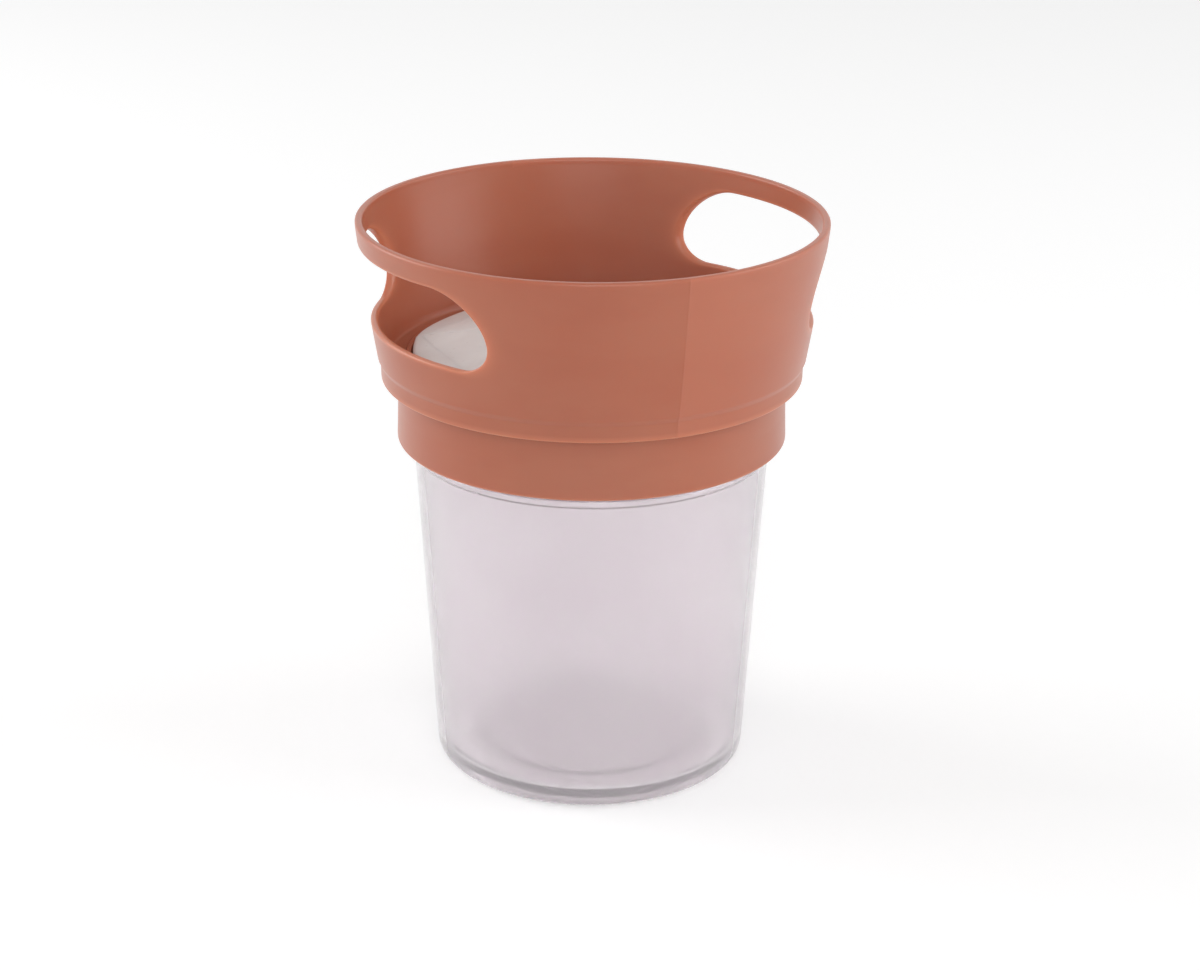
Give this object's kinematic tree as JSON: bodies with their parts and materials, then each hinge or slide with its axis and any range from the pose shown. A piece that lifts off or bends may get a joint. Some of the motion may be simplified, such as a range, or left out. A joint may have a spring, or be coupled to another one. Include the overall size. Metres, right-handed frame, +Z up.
{
  "type": "toddler snack container",
  "caption": "Clear tapered jar with a screw-on bowl that has two hand openings, and a soft slit guard a small hand reaches through.",
  "frame": {"origin": "centre of the jar's base, on the surface it stands on", "axes": "+Z up along the jar's axis; the two hand openings face +X and -X, and the bowl's parting lines are on +Y and -Y"},
  "size_m": [0.108, 0.108, 0.1324],
  "materials": {
    "clear_jar": "glossy translucent plastic with a faint lilac tint",
    "terracotta": "satin, slightly translucent, faintly mottled moulded plastic",
    "pale_silicone": "matte soft silicone",
    "seal_silicone": "matte soft silicone"
  },
  "bodies": {
    "jar": {"jar": "clear_jar"},
    "guard": {"guard_ring": "pale_silicone", "seal_ring": "seal_silicone"},
    "top": {"screw_collar": "terracotta", "handle_bowl": "terracotta"},
    "flap_1": {"flap_1": "pale_silicone"},
    "flap_2": {"flap_2": "pale_silicone"},
    "flap_3": {"flap_3": "pale_silicone"},
    "flap_4": {"flap_4": "pale_silicone"},
    "flap_5": {"flap_5": "pale_silicone"},
    "flap_6": {"flap_6": "pale_silicone"}
  },
  "joints": [
    {"name": "top_lift", "type": "slide", "parent": "jar", "child": "guard", "axis": [0, 0, 1], "range_m": [0, 0.018]},
    {"name": "top_twist", "type": "hinge", "parent": "guard", "child": "top", "pos_m": [0, 0, 0.097], "axis": [0, 0, 1], "range_deg": [0, 540]},
    {"name": "flap_1_swing", "type": "hinge", "parent": "guard", "child": "flap_1", "pos_m": [0.01564, 0.02941, 0.1016], "axis": [0.8829, -0.4695, 0], "range_deg": [-35, 65], "stiffness_Nm_per_rad": 0.02},
    {"name": "flap_2_swing", "type": "hinge", "parent": "guard", "child": "flap_2", "pos_m": [-0.01765, 0.02825, 0.1016], "axis": [0.848, 0.5299, 0], "range_deg": [-35, 65], "stiffness_Nm_per_rad": 0.02},
    {"name": "flap_3_swing", "type": "hinge", "parent": "guard", "child": "flap_3", "pos_m": [-0.03329, -0.00116, 0.1016], "axis": [-0.0349, 0.9994, 0], "range_deg": [-35, 65], "stiffness_Nm_per_rad": 0.02},
    {"name": "flap_4_swing", "type": "hinge", "parent": "guard", "child": "flap_4", "pos_m": [-0.01564, -0.02941, 0.1016], "axis": [-0.8829, 0.4695, 0], "range_deg": [-35, 65], "stiffness_Nm_per_rad": 0.02},
    {"name": "flap_5_swing", "type": "hinge", "parent": "guard", "child": "flap_5", "pos_m": [0.01765, -0.02825, 0.1016], "axis": [-0.848, -0.5299, 0], "range_deg": [-35, 65], "stiffness_Nm_per_rad": 0.02},
    {"name": "flap_6_swing", "type": "hinge", "parent": "guard", "child": "flap_6", "pos_m": [0.03329, 0.00116, 0.1016], "axis": [0.0349, -0.9994, 0], "range_deg": [-35, 65], "stiffness_Nm_per_rad": 0.02}
  ],
  "couplings": [
    {"joint": "top_lift", "follows": "top_twist", "m_per_rad": 0.0019099}
  ]
}
